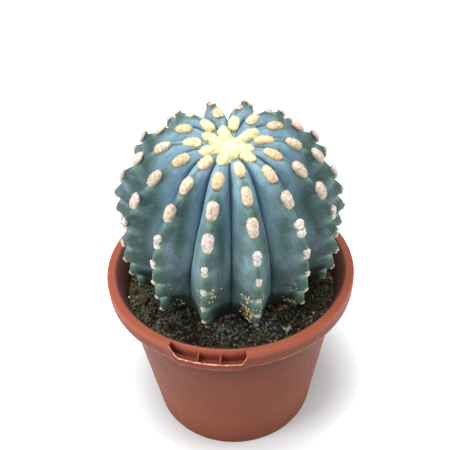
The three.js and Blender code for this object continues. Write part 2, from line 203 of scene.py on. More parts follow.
# The grid of the body's mesh
SIDE_POINTS = 17  # from a crest to the groove beside it
SIDE_GATHERING = 0.55  # how far they draw together beside the crest and the groove
FIRST_ROW = 1.2
ROW_STEP = 1.14
LAST_FINE_ANGLE = 146
ROOT_ANGLES = (148, 179)
ROOT_ROWS = 9
USUAL_RADIUS = 85  # for the scale of the streaks
STREAKS_APART = 60  # between the streaks of one rib and the next, so that no two ribs look alike

# Areoles
PITCH = 20.2
YOUNGEST = 10.2
SPIRAL_TURN = 3 / 7
BACK_SHIFT = 1.6
CLOSING_START = 83
CLOSING_LENGTH = 20
CLOSED_PITCH = 0.86
CROWN_REACH = 18.6
LAST_AREOLE_ANGLE = 117
NOTCH_PLACE = 0.3
NOTCH_DEPTH_TOP = 1.2
NOTCH_DEPTH_LOW = 4.4
NOTCH_GROWTH = (20, 95)
NOTCH_NARROWNESS = (5, 2.4)  # how soon a notch ends beside the crest, high up and low down
WIDE_NOTCH_GROWTH = (75, 125)
WOOL_LOST = 80  # past this distance an areole has lost most of its wool

# The pads of wool on them
PAD_RINGS = 11
PAD_SEGMENTS = 26
PAD_SQUARENESS = 2.6
PAD_UNDERSIDE = 1.6
PAD_LUMPS = [(0.6, 1.5, 3), (0.42, 3.8, 4)]  # depth, size, seed
LUMPY_RISE = 2.6  # a pad that high has lumps of those depths
CREST_CURVE = 7  # radius over which a pad bends to each side
CREST_BOW = 55  # radius over which it bends along the crest
PAD_SIZES = ((6.8, 12), (7.8, 13.4))  # width and length, from and to
PAD_RISES = (2.2, 2.8)
HIDDEN_PAD_SIZE = 0.72  # of a pad on the far side, as a share
OLD_PAD_DISTANCES = (81, 88, 98, 112, 130)
OLD_PAD_LENGTHS = (11.4, 10.8, 8, 5.8, 4.8)
OLD_PAD_WIDTHS = (7, 5.5, 4.9, 3.9, 3.2)
OLD_PAD_VARIATION = (0.92, 1.08)
REMAIN_STEP = 0.24  # of each half of an old pad, as a share of the pad's length
REMAIN_LENGTH = 0.56
REMAIN_RISE = 0.38  # as a share of its width
PAD_TUFTS = 200
OLD_PAD_TUFTS = 30
TUFT_LENGTH = 1.4
OLD_TUFT_LENGTH = 0.6
TUFT_THICKNESS = 0.24
TUFT_SINK = 0.45

# Crown wool
CROWN_RADIUS = 13
CROWN_RISE = 5.5
CROWN_SINK = 1.5
CROWN_SKIRT = 4  # how far the dome goes down into the skin
DOME_RINGS = 10
DOME_SEGMENTS = 40
ARM_START = 4
ARM_PAST_AREOLE = 6.3
ARM_WIDTH = 9
ARM_RISE = 4.2
CROWN_VOXEL = 0.55
CROWN_LUMPS = [(0.6, 1.8, 5), (0.45, 4.5, 6)]  # depth, size, seed
CROWN_TIPS = (8, 24)  # from the axis, where the arms begin and end
CROWN_TUFTS = 2600
CROWN_TUFT_LENGTHS = (0.9, 1.7)
CROWN_TUFT_THICKNESS = 0.26
CROWN_TUFT_SINK = 0.4

# Corky flecks: rib, sides from and to, angles from and to, how many, how large, how pale
CORKY_PATCHES = [
    (7, (-0.5, -0.1), (81, 88), 22, 0.62, 0.9),
    (7, (-0.1, 0.5), (82, 90), 5, 0.4, 0.5),
    (6, (0.22, 0.6), (85, 94), 16, 0.6, 0.9),
    (6, (0.12, 0.5), (97, 108), 46, 0.75, 0.35),
    (6, (0.05, 0.5), (94, 112), 30, 0.6, 0.85),
    (6, (-0.3, -0.05), (84, 100), 7, 0.5, 0.8),
    (8, (-0.5, -0.1), (80, 96), 9, 0.5, 0.8),
    (8, (-0.7, -0.3), (106, 112), 18, 0.6, 0.35),
    (5, (0.3, 0.6), (88, 94), 6, 0.5, 0.8),
    (5, (0.2, 0.5), (104, 110), 14, 0.8, 0.45),
]


def smoothstep(x, start, end):
    t = np.clip((np.asarray(x, float) - start) / (end - start), 0, 1)
    return t * t * (3 - 2 * t)


def lerp(a, b, t):
    return a + (b - a) * t


def unit(vectors):
    return vectors / np.linalg.norm(vectors, axis=-1, keepdims=True)


def around(count):
    """Azimuths in even steps all the way round."""
    return np.linspace(0, 360, count, endpoint=False)


def sin(degrees):
    return np.sin(np.radians(degrees))


def cos(degrees):
    return np.cos(np.radians(degrees))


def on_azimuth(radius, azimuth, z):
    return np.stack(np.broadcast_arrays(radius * sin(azimuth), radius * cos(azimuth), z), -1).astype(float)


def noise_at(points, size, seed):
    """Smooth noise, about -1 to 1, with lumps of that size."""
    flat = np.asarray(points, float).reshape(-1, 3) / size + 17.3 * seed
    return np.array([noise.noise(p) for p in flat]).reshape(np.shape(points)[:-1])


def lumps_at(points, layers):
    """Unevenness added up from layers of noise, each with its depth, size and seed."""
    return sum(depth * noise_at(points, size, seed) for depth, size, seed in layers)


# Meshes


def ring_faces(rows, columns):
    """Quads between the rows of a grid whose columns close into a ring, clockwise seen from above."""
    row, column = np.meshgrid(np.arange(rows - 1), np.arange(columns), indexing="ij")
    here = row * columns + column
    beside = row * columns + (column + 1) % columns
    return np.stack([here, beside, beside + columns, here + columns], -1).reshape(-1, 4).tolist()


def pointed_ends(rows, columns):
    """Triangles from the first and last rows of such a grid to the two points that follow it."""
    last = (rows - 1) * columns
    faces = []
    for c in range(columns):
        beside = (c + 1) % columns
        faces += [(rows * columns, beside, c), (rows * columns + 1, last + c, last + beside)]
    return faces


def flat_ends(rows, columns):
    """One face over each end of such a grid."""
    last = (rows - 1) * columns
    return [tuple(range(columns - 1, -1, -1)), tuple(range(last, last + columns))]


def closed(grid, ends):
    """The faces of a grid of points that closes into a ring, and of its two ends."""
    rows, columns = grid.shape[:2]
    return ring_faces(rows, columns) + ends(rows, columns)


def new_object(name, data):
    made = bpy.data.objects.new(name, data)
    bpy.context.scene.collection.objects.link(made)
    return made


def make_object(name, points, faces, material, attributes=()):
    mesh = bpy.data.meshes.new(name)
    mesh.from_pydata((np.asarray(points) * MM).tolist(), [], faces)
    mesh.shade_smooth()
    for key, values in dict(attributes).items():
        kept = mesh.attributes.new(key, "FLOAT", "POINT").data
        kept.foreach_set("value", np.ravel(values).astype(np.float32))
    mesh.materials.append(material)
    return new_object(name, mesh)


def apply_modifiers(piece):
    graph = bpy.context.evaluated_depsgraph_get()
    mesh = bpy.data.meshes.new_from_object(piece.evaluated_get(graph))
    piece.modifiers.clear()
    piece.data = mesh


class Cluster:
    """Many small shapes gathered into one mesh, with a number or more kept for each point."""

    def __init__(self):
        self.points, self.faces, self.values, self.count = [], [], {}, 0

    def add(self, points, faces, **values):
        points = np.asarray(points, float).reshape(-1, 3)
        self.faces += [tuple(int(i) + self.count for i in face) for face in faces]
        self.points.append(points)
        for key, value in values.items():
            self.values.setdefault(key, []).append(np.broadcast_to(value, len(points)).ravel())
        self.count += len(points)

    def build(self, name, material, place=np.asarray):
        """One object of all the shapes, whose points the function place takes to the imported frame."""
        values = {key: np.concatenate(parts) for key, parts in self.values.items()}
        return make_object(name, place(np.concatenate(self.points)), self.faces, material, values)


# Shader nodes, each made in the node tree of the sockets that feed it


def add_node(tree, kind, inputs=(), **settings):
    node = tree.nodes.new("ShaderNode" + kind)
    for key, value in settings.items():
        setattr(node, key, value)
    for key, value in dict(inputs).items():
        if isinstance(value, bpy.types.NodeSocket):
            tree.links.new(value, node.inputs[key])
        else:
            node.inputs[key].default_value = value
    return node


def new_material(name, roughness, specular, sheen=0):
    """A new material, its shader, and the place on the object in metres."""
    material = bpy.data.materials.new(name)
    material.use_nodes = True
    shader = material.node_tree.nodes["Principled BSDF"]
    shader.inputs["Roughness"].default_value = roughness
    shader.inputs["Specular IOR Level"].default_value = specular
    shader.inputs["Sheen Weight"].default_value = sheen
    return material, shader, add_node(material.node_tree, "TexCoord").outputs["Object"]


def feed(shader, name, socket):
    shader.id_data.links.new(socket, shader.inputs[name])


def attribute(shader, name):
    return add_node(shader.id_data, "Attribute", attribute_name=name).outputs["Fac"]


def noise_node(vector, scale, detail=2, roughness=0.5):
    inputs = {"Vector": vector, "Scale": scale, "Detail": detail, "Roughness": roughness}
    return add_node(vector.id_data, "TexNoise", inputs).outputs["Fac"]


def maths(operation, *values):
    return add_node(values[0].id_data, "Math", dict(enumerate(values)), operation=operation).outputs[0]


def times(product, *others):
    for other in others:
        product = maths("MULTIPLY", product, other)
    return product


def swayed(value, cloud, amount):
    """value pushed up and down by a noise."""
    return maths("ADD", value, times(maths("SUBTRACT", cloud, 0.5), amount))


def eased(value, low, high, to=1.0, start=0.0):
    """A smooth step from start, where value is low, to another number, where it is high."""
    inputs = {"Value": value, "From Min": low, "From Max": high, "To Min": start, "To Max": to}
    return add_node(value.id_data, "MapRange", inputs, interpolation_type="SMOOTHSTEP").outputs["Result"]


def millimetres(place, axis):
    """One coordinate of a place."""
    return maths("DIVIDE", add_node(place.id_data, "SeparateXYZ", {"Vector": place}).outputs[axis], MM)


def linear(colour):
    """A colour as a shader wants it. A socket stays as it is."""
    if isinstance(colour, bpy.types.NodeSocket):
        return colour
    return tuple(((c / 255 + 0.055) / 1.055) ** 2.4 if c > 10 else c / 255 / 12.92 for c in colour) + (1,)


def mix(share, first, second, blend="MIX"):
    inputs = {0: share, 6: linear(first), 7: linear(second)}
    return add_node(share.id_data, "Mix", inputs, data_type="RGBA", blend_type=blend).outputs[2]


def layered(colour, layers):
    """Other colours laid over a first one in turn, each with its share and, where it isn't MIX, its blend."""
    for share, over, *blend in layers:
        colour = mix(share, colour, over, *blend)
    return colour


def ramp(value, stops):
    node = add_node(value.id_data, "ValToRGB", {"Fac": value})
    elements = node.color_ramp.elements
    while len(elements) < len(stops):
        elements.new(0.5)
    for element, (position, colour) in zip(elements, stops):
        element.position = position
        element.color = linear(colour)
    return node.outputs["Color"]


def bump(shader, *layers):
    """Layers of (height socket, depth in millimetres, strength)."""
    normal = None
    for height, depth, strength in layers:
        inputs = {"Height": height, "Distance": depth * MM, "Strength": strength}
        if normal:
            inputs["Normal"] = normal
        normal = add_node(shader.id_data, "Bump", inputs).outputs["Normal"]
    feed(shader, "Normal", normal)


# Camera, floor and light


def make_camera():
    elevation = math.radians(CAMERA_ELEVATION)
    roll = math.radians(CAMERA_ROLL)
    back = Vector((0, -math.cos(elevation), math.sin(elevation)))
    right = Vector((1, 0, 0))
    up = back.cross(right)
    turned_right = right * math.cos(roll) + up * math.sin(roll)
    turned_up = up * math.cos(roll) - right * math.sin(roll)
    camera = new_object("camera", bpy.data.cameras.new("camera"))
    camera.data.sensor_width = SENSOR_WIDTH
    camera.data.lens = FOCAL_PIXELS / PHOTO_SIZE * SENSOR_WIDTH
    place = Matrix((turned_right, turned_up, back)).transposed().to_4x4()
    place.translation = CAMERA_TARGET + back * CAMERA_DISTANCE
    camera.matrix_world = place
    bpy.context.scene.camera = camera


def make_stage():
    """A pale floor that glows a little away from the pot."""
    floor, shader, place = new_material("pale_floor", 0.8, 0.1)
    shader.inputs["Base Color"].default_value = FLOOR_COLOUR
    shader.inputs["Emission Color"].default_value = (1, 1, 1, 1)
    away = add_node(place.id_data, "VectorMath", {0: place, 1: GLOW_CENTRE}, operation="DISTANCE")
    under, beyond = GLOW_STRENGTH
    feed(shader, "Emission Strength", eased(away.outputs["Value"], *GLOW_REACH, beyond, start=under))
    corners = np.array([(-1, -1, 0), (1, -1, 0), (1, 1, 0), (-1, 1, 0)]) * FLOOR_HALF - (0, 0, FLOOR_SINK)
    make_object("floor", corners / MM, [(0, 1, 2, 3)], floor)


def make_lights():
    world = bpy.data.worlds.new("studio")
    world.use_nodes = True
    world.node_tree.nodes["Background"].inputs["Color"].default_value = (1, 1, 1, 1)
    world.node_tree.nodes["Background"].inputs["Strength"].default_value = WORLD_STRENGTH
    bpy.context.scene.world = world
    for name, place, size, power in LIGHTS:
        light = new_object(name, bpy.data.lights.new(name, "AREA"))
        light.data.energy = power
        light.data.shape = "DISK"
        light.data.size = size
        light.location = place
        light.rotation_euler = (Vector(LIGHT_TARGET) - Vector(place)).to_track_quat("-Z", "Y").to_euler()


# The skin of the cactus, in the plant's own frame


def curve_through(values, step, at):
    """A smooth curve through evenly spaced values, mirrored at both ends."""
    values = np.asarray(values, float)
    last = len(values) - 1
    i = np.clip(np.floor(np.asarray(at) / step).astype(int), 0, last - 1)
    t = np.asarray(at) / step - i
    a, b, c, d = (values[last - np.abs(last - np.abs(i + j))] for j in (-1, 0, 1, 2))
    return b + 0.5 * t * (c - a + t * (2 * a - 5 * b + 4 * c - d + t * (3 * (b - c) + d - a)))


WHOLE_ANGLES = np.arange(181)


def crest_radius(angle, azimuth=180):
    to_right = sin(azimuth)
    hanging = smoothstep((1 - cos(azimuth)) / 2, *HANGING_PART)
    start, end = UNDERCUT_ANGLES
    above_neck = 1 - smoothstep(angle, *NECK_ANGLES)
    turned_in = smoothstep(angle, start - UNDERCUT_SHIFT * to_right, end) * above_neck
    swell = 1 - LEFT_SWELL * to_right * smoothstep(angle, 0, 60)
    return curve_through(CREST_RADII, PROFILE_STEP, angle) * swell * (1 - UNDERCUT * hanging * turned_in)


def crest_distances():
    """Distance down a crest for every whole degree from the top."""
    points = crest_radius(WHOLE_ANGLES) * (sin(WHOLE_ANGLES), cos(WHOLE_ANGLES))
    return np.append(0, np.cumsum(np.linalg.norm(np.diff(points), axis=0)))


CREST_DISTANCES = crest_distances()


def distance_at(angle):
    return np.interp(angle, WHOLE_ANGLES, CREST_DISTANCES)


def angle_at(distance):
    return np.interp(distance, CREST_DISTANCES, WHOLE_ANGLES)


def rib_azimuth(k, distance=0):
    """The azimuth of rib k's crest, which turns and sways a little on its way down."""
    sway = RIB_SWAY * np.sin(np.asarray(distance) / SWAY_LENGTH + SWAY_STEP * (k % RIBS))
    sway = sway * smoothstep(distance, *SWAY_GROWTH)
    twist = RIB_TWIST * (np.clip(distance, *TWISTED_PART) - TWIST_MIDDLE)
    return FIRST_RIB + 360 / RIBS * k + RIB_DRIFT[k % RIBS] + sway + twist


def spiral_distance(k, pitches):
    """The distance from the growing point, on rib k, of a place so many pitches down the spiral."""
    turn = ((k + RIBS + 1) * SPIRAL_TURN) % 1
    even = YOUNGEST + PITCH * (turn + np.asarray(pitches)) + BACK_SHIFT * cos(rib_azimuth(k))
    past = np.maximum(0, even - CLOSING_START)
    closing = np.minimum(past, CLOSING_LENGTH)
    lost = closing**2 / (2 * CLOSING_LENGTH) + past - closing
    return even - (1 - CLOSED_PITCH) * lost


def areole_distances(k):
    places = spiral_distance(k, np.arange(30))
    return places[angle_at(places) < LAST_AREOLE_ANGLE]


def notch_count(k, distance):
    """How many notches in the crest a place is past, whole at each notch."""
    counts = np.arange(-3, 24)
    return np.interp(distance, spiral_distance(k, counts + NOTCH_PLACE), counts)


def notch_dip(k, distance):
    lobe = np.sin(math.pi * (notch_count(k, distance) % 1) ** 1.25) ** 0.75
    return lerp(NOTCH_DEPTH_TOP, NOTCH_DEPTH_LOW, smoothstep(distance, *NOTCH_GROWTH)) * (1 - lobe)


def skin_point(k, side, angle):
    """A point of the skin. side is -1 in the groove before rib k, 0 on its crest, 1 in the one after it."""
    side, angle = np.broadcast_arrays(np.asarray(side, float), np.asarray(angle, float))
    distance = distance_at(angle)
    reach = np.abs(side)
    crest = rib_azimuth(k, distance)
    beside = np.where(side < 0, rib_azimuth(k - 1, distance), rib_azimuth(k + 1, distance))
    azimuth = lerp(crest, beside, reach / 2)

    blunt = lerp(*CREST_ROUNDS, smoothstep(angle, *BLUNTING_ANGLES))
    off = (np.hypot(reach, blunt) - blunt) / (np.hypot(1, blunt) - blunt)
    grown = smoothstep(distance, *FLANK_GROWTH)
    power = lerp(lerp(YOUNG_FLANK, GROWN_FLANK, grown), TOE_FLANK, smoothstep(angle, *TOE_ANGLES))
    flank = np.maximum(0, 1 - off ** lerp(YOUNG_CREST, 1, grown)) ** power
    groove = curve_through(GROOVE_SHARES, PROFILE_STEP, angle)
    radius = crest_radius(angle, azimuth) * lerp(groove, 1, flank)
    narrowness = lerp(*NOTCH_NARROWNESS, smoothstep(distance, *WIDE_NOTCH_GROWTH))
    radius -= notch_dip(k, distance) * (1 - off) ** narrowness

    to_crease = (1 - reach) * radius * sin(angle) * math.pi / RIBS
    fade = smoothstep(distance, *CREASE_GROWTH) * (1 - smoothstep(angle, *CREASE_END_ANGLES))
    radius -= CREASE_DEPTH * fade * np.exp(-((to_crease / CREASE_WIDTH) ** 2))

    points = on_azimuth(radius * sin(angle), azimuth, BODY_CENTRE + radius * cos(angle))
    outward = unit(points - (0, 0, BODY_CENTRE))
    return points + outward * (lumps_at(points, SKIN_LUMPS) * smoothstep(distance, *LUMPS_GROWTH))[..., None]


def plant_to_frame(points):
    """From the plant's own frame, whose origin is on the soil below the growing point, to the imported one."""
    a, b = math.radians(LEAN_TO_FRONT), math.radians(LEAN_TO_RIGHT)
    lean_front = np.array([[1, 0, 0], [0, math.cos(a), -math.sin(a)], [0, math.sin(a), math.cos(a)]])
    lean_right = np.array([[math.cos(b), 0, math.sin(b)], [0, 1, 0], [-math.sin(b), 0, math.cos(b)]])
    return np.asarray(points) @ (lean_front @ lean_right).T + (*PLANT_FOOT, SOIL_HEIGHT)


def body_values(sides, angles):
    """What the skin's colours need at each point of the body's grid, and at its two ends."""
    distance = distance_at(angles)
    width = USUAL_RADIUS * math.pi / RIBS * sin(angles)
    past = np.stack([(notch_count(k, distance) + NOTCH_PLACE) % 1 for k in range(RIBS)], 1)
    values = {
        "reach": np.tile(np.abs(sides), len(angles) * RIBS),
        "flank": np.tile(np.sin(math.pi * sides), len(angles) * RIBS),
        "down": np.repeat(distance, len(sides) * RIBS),
        "across": np.concatenate([width[:, None] * sides + STREAKS_APART * k for k in range(RIBS)], axis=1),
        "below": np.repeat(1 - smoothstep(past, 0.32, 0.6), len(sides), 1),
    }
    ends = {"down": (0, distance_at(180))}
    return {key: np.append(value, ends.get(key, (0, 0))) for key, value in values.items()}


def make_body(material):
    steps = np.linspace(0, 1, SIDE_POINTS)
    half = lerp(steps, 0.5 - 0.5 * np.cos(math.pi * steps), SIDE_GATHERING)
    sides = np.concatenate([-half[:0:-1], half[:-1]])
    shown = angle_at(np.arange(FIRST_ROW, distance_at(LAST_FINE_ANGLE), ROW_STEP))
    angles = np.concatenate([shown, np.linspace(*ROOT_ANGLES, ROOT_ROWS)])
    grid = np.concatenate([skin_point(k, sides, angles[:, None]) for k in range(RIBS)], axis=1)
    points = np.concatenate([grid.reshape(-1, 3), [skin_point(0, 0, 0)], [skin_point(0, 0, 180)]])
    values = body_values(sides, angles)
    return make_object("cactus_body", plant_to_frame(points), closed(grid, pointed_ends), material, values)


def skin_ground(reach, down, clouds, streaks):
    """The pale young skin above, and below it the greener and greyer bands of the grown skin."""
    # The young skin is lighter blue towards the grooves: partly its waxy bloom, partly painted light in the
    # valleys
    young = ramp(swayed(swayed(reach, clouds, 0.35), streaks, 0.3), [
        (0.0, (134, 166, 160)),
        (0.12, (104, 138, 144)),
        (0.5, (110, 144, 160)),
        (0.8, (130, 162, 182)),
        (0.97, (98, 134, 148)),
    ])
    band = maths("SUBTRACT", down, times(reach, 70.0))
    band = swayed(swayed(band, clouds, 26.0), streaks, 34.0)
    grown = ramp(maths("DIVIDE", band, 140.0), [
        (0.1, (124, 158, 174)),
        (0.19, (94, 124, 128)),
        (0.27, (66, 94, 88)),
        (0.34, (66, 94, 86)),
        (0.43, (82, 108, 106)),
        (0.54, (104, 126, 136)),
        (0.7, (100, 122, 126)),
        (0.9, (74, 94, 80)),
    ])
    return mix(eased(band, -14, 16), young, grown)


def skin_material():
    material, shader, place = new_material("glaucous_skin", 0.5, 0.2)
    names = ("reach", "flank", "down", "across", "below")
    reach, flank, down, across, below = (attribute(shader, name) for name in names)
    drawn_out = {"X": across, "Y": times(down, 0.09), "Z": 0.0}
    streaks = noise_node(add_node(shader.id_data, "CombineXYZ", drawn_out).outputs[0], 0.9, 4, 0.6)
    clouds = noise_node(place, 45, 3)
    grain = noise_node(place, 900)
    mottle = noise_node(place, 330, 4, 0.7)
    bloom = noise_node(place, 95, 3, 0.6)
    to_right = millimetres(place, "X")
    aside = maths("ABSOLUTE", to_right)

    # in_front: the flanks of the front ribs, for painted light and shade
    in_front = times(flank, eased(aside, 42, 28))
    # toes: dark green on the crests, and darker with painted shade towards the grooves
    toes = mix(eased(reach, 0.3, 0.1), (42, 60, 54), (62, 86, 68))
    # fluted: the crests lower down, where painted light and shade follow the humps between the areoles
    fluted = times(eased(reach, 0.62, 0.2), eased(down, 34, 60))
    # arch and under: the hollows under the ribs' ends and under the body, for painted shadow
    arch = eased(maths("SUBTRACT", down, times(reach, 12.0)), 133, 142)
    under = maths("MAXIMUM", times(arch, eased(reach, 0.2, 0.36)), eased(down, 160, 172))
    # shade: where painted shade falls on the sides of the body, seen from the front
    shade = times(eased(aside, 30, 62), eased(down, 38, 80), eased(clouds, 0.6, 0.42, 0.9, start=0.4))
    colour = layered(skin_ground(reach, down, clouds, streaks), [
        # Green along the crests, and painted shade towards both sides, more so on the left
        (times(eased(reach, 0.36, 0.1), eased(down, 38, 62), 0.65), (74, 102, 88)),
        (shade, (48, 72, 66)),
        (eased(to_right, -40, -65, 0.45), (46, 68, 62)),
        # Painted light on the left flank of each front rib, and painted shade on its right flank
        (eased(in_front, 0.0, 1.0, 0.3), (132, 158, 166)),
        (eased(in_front, 0.0, -1.0, 0.25), (60, 88, 84)),
        # Blue folds near the crown, painted light in the valleys lower down, and dark green toes with painted
        # shade towards the grooves between them
        (times(eased(reach, 0.66, 0.97, 0.5), eased(down, 64, 34)), (62, 96, 112)),
        (times(eased(reach, 0.52, 0.86, 0.8), eased(down, 62, 92)), (130, 158, 166)),
        (eased(down, 98, 126, 0.8), toes),
        # Painted light on each crest below an areole and painted shade above the next one, and a green painted
        # highlight on the hump just below each areole
        (times(fluted, eased(below, 0.5, 1.0, 0.26)), (118, 150, 148)),
        (times(fluted, eased(below, 0.5, 0.0, 0.3)), (50, 74, 70)),
        (times(below, eased(reach, 0.26, 0.06), eased(down, 30, 62, 0.7, start=0.2)), (118, 158, 138)),
        # Streaks, blooms and mottles, each both lighter and darker than the ground
        (times(eased(streaks, 0.52, 0.75), eased(down, 45, 85, 0.08, start=0.32)), (152, 178, 198)),
        (eased(streaks, 0.47, 0.28, 0.42), (44, 72, 78)),
        (eased(bloom, 0.5, 0.68, 0.32), (118, 136, 166)),
        (eased(bloom, 0.5, 0.34, 0.3), (62, 94, 96)),
        (eased(mottle, 0.54, 0.7, 0.1), (140, 168, 168)),
        (eased(mottle, 0.46, 0.3, 0.35), (52, 78, 74)),
        # Painted shade in the creases between the ribs, and painted shadow in the hollows under their ends and
        # under the body
        (times(eased(reach, 0.95, 0.99), eased(down, 50, 80, 0.85, start=0.45)), (30, 56, 58)),
        (times(under, 0.92), (26, 36, 30)),
    ])
    feed(shader, "Base Color", colour)
    feed(shader, "Roughness", eased(down, 20, 120, 0.46, start=0.55))
    bump(shader, (streaks, 0.35, 0.35), (clouds, 1.5, 0.15), (grain, 0.25, 0.3))
    return material


# Areoles


def crest_frame(k, distance):
    """The skin's place on a crest, and the directions across, down and out of it."""
    before, here, after = (skin_point(k, 0, angle_at(distance + step)) for step in (-5, 0, 5))
    down = unit(after - before)
    across = on_azimuth(1, rib_azimuth(k, distance) + 90, 0)
    return here, across, down, unit(np.cross(across, down))


def new_pad(k, distance, width, length, rise):
    tone, taper = random.uniform((0.35, -0.16), (0.65, 0.1))
    sizes = {"width": width, "length": length, "rise": rise, "taper": taper}
    return {"frame": crest_frame(k, distance), "age": distance, "tone": tone, **sizes}


def pad_place(pad, u, v, height):
    """A point of a pad: u across and v down it, both -1 to 1, and its height over the skin."""
    here, across, down, out = pad["frame"]
    x = u * pad["width"] / 2 * (1 + pad["taper"] * v)
    y = v * pad["length"] / 2
    z = height - x**2 / (2 * CREST_CURVE) - y**2 / (2 * CREST_BOW)
    return here + x[..., None] * across + y[..., None] * down + z[..., None] * out


def add_pad(cluster, pad):
    """The felted cushion of one areole."""
    tilt = np.linspace(0, math.pi, PAD_RINGS + 2)[1:-1, None]
    turn = np.linspace(0, 2 * math.pi, PAD_SEGMENTS, endpoint=False)[None, :]
    ring = np.sin(tilt) ** 0.75
    u = ring * np.sign(np.sin(turn)) * np.abs(np.sin(turn)) ** (2 / PAD_SQUARENESS)
    v = ring * np.sign(np.cos(turn)) * np.abs(np.cos(turn)) ** (2 / PAD_SQUARENESS)
    height = np.where(tilt < math.pi / 2, pad["rise"], PAD_UNDERSIDE) * np.cos(tilt) + 0 * turn
    grid = pad_place(pad, u, v, height)
    ends = pad_place(pad, np.zeros(2), np.zeros(2), np.array([pad["rise"], -PAD_UNDERSIDE]))
    points = np.concatenate([grid.reshape(-1, 3), ends])
    lumps = lumps_at(points, PAD_LUMPS) * pad["rise"] / LUMPY_RISE
    points = points + unit(points - pad["frame"][0]) * lumps[:, None]
    # low: the pad's sides and underside, which get painted shade against the skin
    low = np.append(smoothstep(tilt, 0.9, 1.6) + 0 * turn, (0, 1))
    values = {"age": pad["age"], "tip": np.append(v, (0, 0)), "tone": pad["tone"], "low": low}
    cluster.add(points, closed(grid, pointed_ends), **values)


def add_tufts(cluster, roots, directions, lengths, thickness, **values):
    """Short pointed tufts of wool, three-sided, each bent a little."""
    count = len(roots)
    aside = unit(np.cross(directions, random.normal(size=(count, 3))))
    other = np.cross(directions, aside)
    corners = []
    for turn in (0, 2 * math.pi / 3, 4 * math.pi / 3):
        corners.append(roots + thickness * (math.cos(turn) * aside + math.sin(turn) * other))
    bend = 0.35 * lengths * random.normal(size=count)
    tips = roots + directions * lengths[:, None] + aside * bend[:, None]
    points = np.stack([*corners, tips], 1)
    first = np.arange(count)[:, None] * 4
    faces = np.concatenate([first + (0, 1, 3), first + (1, 2, 3), first + (2, 0, 3)])
    per_point = {key: np.repeat(np.broadcast_to(value, count), 4) for key, value in values.items()}
    cluster.add(points, faces, **per_point)


def add_pad_tufts(cluster, pad, count, length):
    radius = np.sqrt(random.uniform(0, 0.95, count))
    turn = random.uniform(0, 2 * math.pi, count)
    u, v = radius * np.sin(turn), radius * np.cos(turn)
    height = pad["rise"] * np.sqrt(np.maximum(0, 1 - radius**2.6)) - TUFT_SINK
    roots = pad_place(pad, u, v, height)
    _, across, down, out = pad["frame"]
    lean = 0.9 * radius**2
    directions = (lean * u)[:, None] * across + (lean * v)[:, None] * down + out
    directions = unit(directions + 0.35 * random.normal(size=(count, 3)))
    lengths = length * random.uniform(0.7, 1.25, count)
    tone = np.clip(pad["tone"] + random.normal(0, 0.16, count), 0, 1)
    # low: the tufts at the pad's edge, which get painted shade
    low = smoothstep(radius, 0.8, 1)
    add_tufts(cluster, roots, directions, lengths, TUFT_THICKNESS, age=pad["age"], tip=v, tone=tone, low=low)


def add_full_areole(cluster, k, distance):
    """One oval cushion, smaller on the far side."""
    width, length = random.uniform(*PAD_SIZES)
    rise = random.uniform(*PAD_RISES)
    behind = smoothstep(cos(rib_azimuth(k)), 0.3, 0.8) * smoothstep(distance, 34, 42)
    size = lerp(1, HIDDEN_PAD_SIZE, behind)
    pad = new_pad(k, distance, width * size, length * size, rise * size**2)
    add_pad(cluster, pad)
    add_pad_tufts(cluster, pad, PAD_TUFTS, TUFT_LENGTH * size)


def add_worn_areole(cluster, k, distance):
    """Two small remains of wool, one below the other."""
    length = np.interp(distance, OLD_PAD_DISTANCES, OLD_PAD_LENGTHS) * random.uniform(*OLD_PAD_VARIATION)
    width = np.interp(distance, OLD_PAD_DISTANCES, OLD_PAD_WIDTHS) * random.uniform(*OLD_PAD_VARIATION)
    for step in (-REMAIN_STEP, REMAIN_STEP):
        pad = new_pad(k, distance + step * length, width, REMAIN_LENGTH * length, REMAIN_RISE * width)
        add_pad(cluster, pad)
        add_pad_tufts(cluster, pad, OLD_PAD_TUFTS, OLD_TUFT_LENGTH)


def make_areoles(material):
    cluster = Cluster()
    for k in range(RIBS):
        for distance in areole_distances(k):
            if CROWN_REACH < distance < WOOL_LOST:
                add_full_areole(cluster, k, distance)
            elif distance >= WOOL_LOST:
                add_worn_areole(cluster, k, distance)
    return cluster.build("areole_wool", material, plant_to_frame)


def make_flecks():
    """Corky gold flecks on the lower ends of the front ribs."""
    cluster = Cluster()
    for k, sides, angles, count, size, pale in CORKY_PATCHES:
        side, angle = (random.normal((a + b) / 2, (b - a) / 3, count) for a, b in (sides, angles))
        roots = skin_point(k, side, angle)
        across = skin_point(k, side + 0.02, angle) - roots
        outward = unit(np.cross(across, skin_point(k, side, angle + 0.5) - roots))
        thickness = size * random.uniform(0.6, 1.7, (count, 1))
        tone = np.clip(random.normal(pale, 0.2, count), 0, 1)
        add_tufts(cluster, roots, outward, 0.8 * thickness[:, 0], thickness, tone=tone)
    cork = toned_material("cork", (134, 78, 40), (255, 232, 176), 0.7)
    return cluster.build("corky_flecks", cork, plant_to_frame)


def crown_core(material):
    """The arms of the star and the dome between them, grown into one body."""
    core = Cluster()
    for k in range(RIBS):
        for distance in areole_distances(k):
            if distance <= CROWN_REACH:
                end = distance + ARM_PAST_AREOLE
                add_pad(core, new_pad(k, (ARM_START + end) / 2, ARM_WIDTH, end - ARM_START + 1, ARM_RISE))
    tilt = np.linspace(0.05, math.pi / 2, DOME_RINGS)[:, None]
    height = BODY_CENTRE + CREST_RADII[0] - CROWN_SINK + CROWN_RISE * np.cos(tilt)
    dome = on_azimuth(CROWN_RADIUS * np.sin(tilt), around(DOME_SEGMENTS), height)
    grid = np.concatenate([dome, dome[-1:] - (0, 0, CROWN_SKIRT)])
    core.add(grid, closed(grid, flat_ends), age=0, tip=0, tone=0, low=0)
    crown = core.build("crown_core", material)
    remesh = crown.modifiers.new("one_body", "REMESH")
    remesh.mode = "VOXEL"
    remesh.voxel_size = CROWN_VOXEL * MM
    relax = crown.modifiers.new("relax", "SMOOTH")
    relax.iterations = 2
    apply_modifiers(crown)
    return crown


